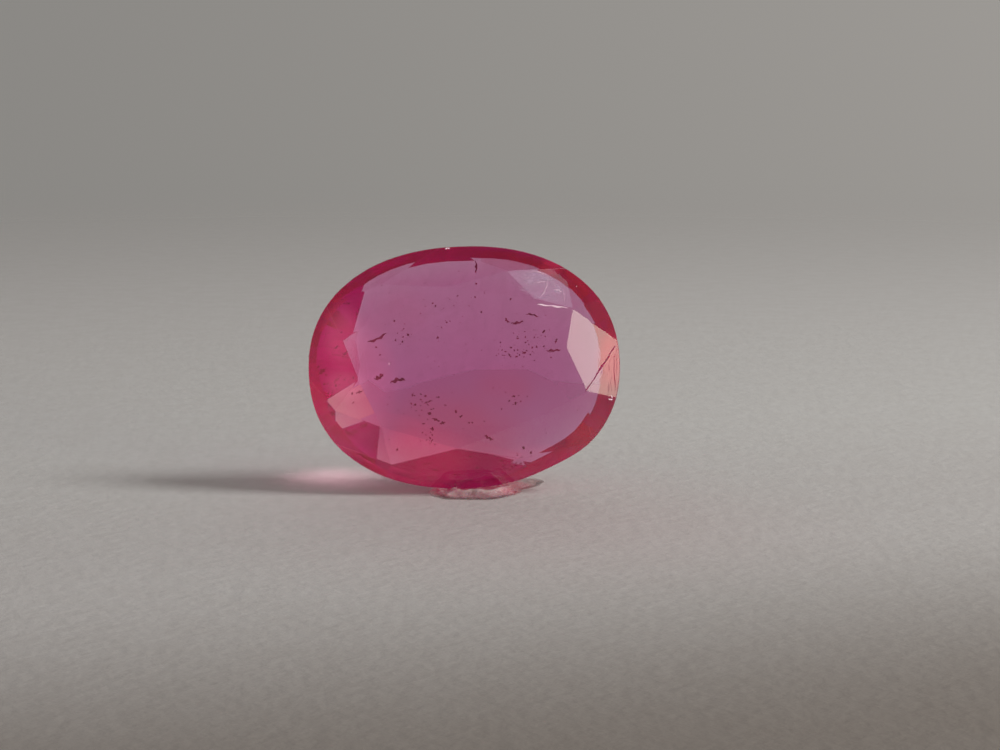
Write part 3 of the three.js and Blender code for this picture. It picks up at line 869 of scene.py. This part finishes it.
def make_backdrop():
    """A soft grey surround, a little brighter and warmer to the right and behind, dimmer overhead. The
    camera sees it plain, and the stone sees its brighter patches too."""
    world = bpy.data.worlds.new("backdrop")
    bpy.context.scene.world = world
    world.use_nodes = True
    tree = world.node_tree
    direction = add_node(tree, "ShaderNodeTexCoord").outputs["Generated"]

    def toward(middle, start, full):
        """How nearly a direction is a middle one: none at the first angle from it, all at the second."""
        nearness = vector_maths(tree, "DOT_PRODUCT", direction, middle)["Value"]
        far, near = (math.cos(math.radians(angle)) for angle in (start, full))
        return ramp(tree, nearness, far, near)

    side = toward(Vector(BACKDROP_SIDE_DIRECTION).normalized(), 84, 0)
    height = add_node(tree, "ShaderNodeSeparateXYZ", {0: direction}).outputs["Z"]
    level = blend_colours(tree, side, BACKDROP_LOW, BACKDROP_SIDE)
    plain = blend_colours(tree, ramp(tree, height, 0.1, 1.0, 0.0, BACKDROP_DIMMING), level, (0, 0, 0))
    bright = plain
    for patch in SURROUND:
        middle = direction_from(patch["azimuth"], patch["elevation"])
        bright = blend_colours(tree, toward(middle, patch["end"], patch["full"]), bright, patch["colour"])
    seen = add_node(tree, "ShaderNodeLightPath").outputs["Is Camera Ray"]
    tree.links.new(blend_colours(tree, seen, bright, plain), tree.nodes["Background"].inputs["Color"])


def direction_from(azimuth, elevation):
    """The direction at degrees round from +X and degrees up."""
    round_, up = math.radians(azimuth), math.radians(elevation)
    return Vector((math.cos(up) * math.cos(round_), math.cos(up) * math.sin(round_), math.sin(up)))


def place_light(name, data, location, toward):
    """A light at a place, turned toward a direction."""
    lamp = bpy.data.objects.new(name, data)
    lamp.location = location
    lamp.rotation_euler = toward.to_track_quat("-Z", "Y").to_euler()
    bpy.context.scene.collection.objects.link(lamp)
    return lamp


def make_panel(panel):
    """A soft panel of light that faces the stone and isn't seen through it. Its power is its radiance times
    its area times pi."""
    light = bpy.data.lights.new(panel["name"], "AREA")
    light.shape = "RECTANGLE"
    light.size, light.size_y = (side * MM for side in panel["size"])
    light.energy = panel["radiance"] * math.pi * light.size * light.size_y
    light.color = panel["colour"]
    away = direction_from(panel["azimuth"], panel["elevation"])
    location = away * panel["distance"] * MM + Vector((0, 0, PANEL_AIM_HEIGHT * MM))
    lamp = place_light(panel["name"], light, location, -away)
    lamp.visible_transmission = False


def make_thrown_light():
    """A small pink spot on the floor inside the stone's shadow."""
    light = bpy.data.lights.new("thrown", "SPOT")
    light.energy = THROWN_WATTS
    light.color = THROWN_COLOUR
    light.spot_size = math.radians(THROWN_SPREAD)
    light.spot_blend = 1.0
    light.shadow_soft_size = THROWN_SOFTNESS * MM
    start, end = Vector(THROWN_FROM) * MM, Vector(THROWN_TO) * MM
    place_light("thrown", light, start, end - start)


def make_camera():
    """The camera in front of the stone, a little above it, with the stone where the photograph has it."""
    data = bpy.data.cameras.new("camera")
    data.lens = CAMERA_LENS
    data.clip_start = MM
    width, height = PICTURE_PX
    data.shift_x = (width / 2 - STONE_MIDDLE_PX[0]) / width
    data.shift_y = (STONE_MIDDLE_PX[1] - height / 2) / width
    camera = bpy.data.objects.new("camera", data)
    back = direction_from(-90, CAMERA_ELEVATION)
    camera.location = back * CAMERA_DISTANCE * MM + Vector((0, 0, STONE_MIDDLE_HEIGHT * MM))
    camera.rotation_euler = (math.radians(90 - CAMERA_ELEVATION), 0, 0)
    bpy.context.scene.collection.objects.link(camera)
    bpy.context.scene.camera = camera


def set_light_paths():
    """Enough bounces for light to run round inside the stone, and plain colours."""
    scene = bpy.context.scene
    scene.view_settings.view_transform = "Standard"
    scene.cycles.max_bounces = 32
    scene.cycles.transmission_bounces = 32
    scene.cycles.glossy_bounces = 24
    scene.cycles.transparent_max_bounces = 48
    scene.cycles.diffuse_bounces = 3
    scene.cycles.denoising_input_passes = "RGB_ALBEDO"


def dress(piece, material):
    """A piece's material and the body it rides on."""
    piece.data.materials.clear()
    piece.data.materials.append(material)
    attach(piece, "root")


make_camera()
set_light_paths()
make_backdrop()
for panel in PANELS:
    make_panel(panel)
make_thrown_light()

stone = make_stone()
dress(stone, ruby_material())
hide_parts("ruby")

dress(make_dark_inclusions(), dark_inclusion_material())
dress(make_pale_inclusions(), pale_inclusion_material())
dress(make_feather(), feather_material())

adhesive = make_dab()
dress(adhesive, adhesive_material())
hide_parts("adhesive_dab")

floor = make_floor()
floor.data.materials.append(floor_material())
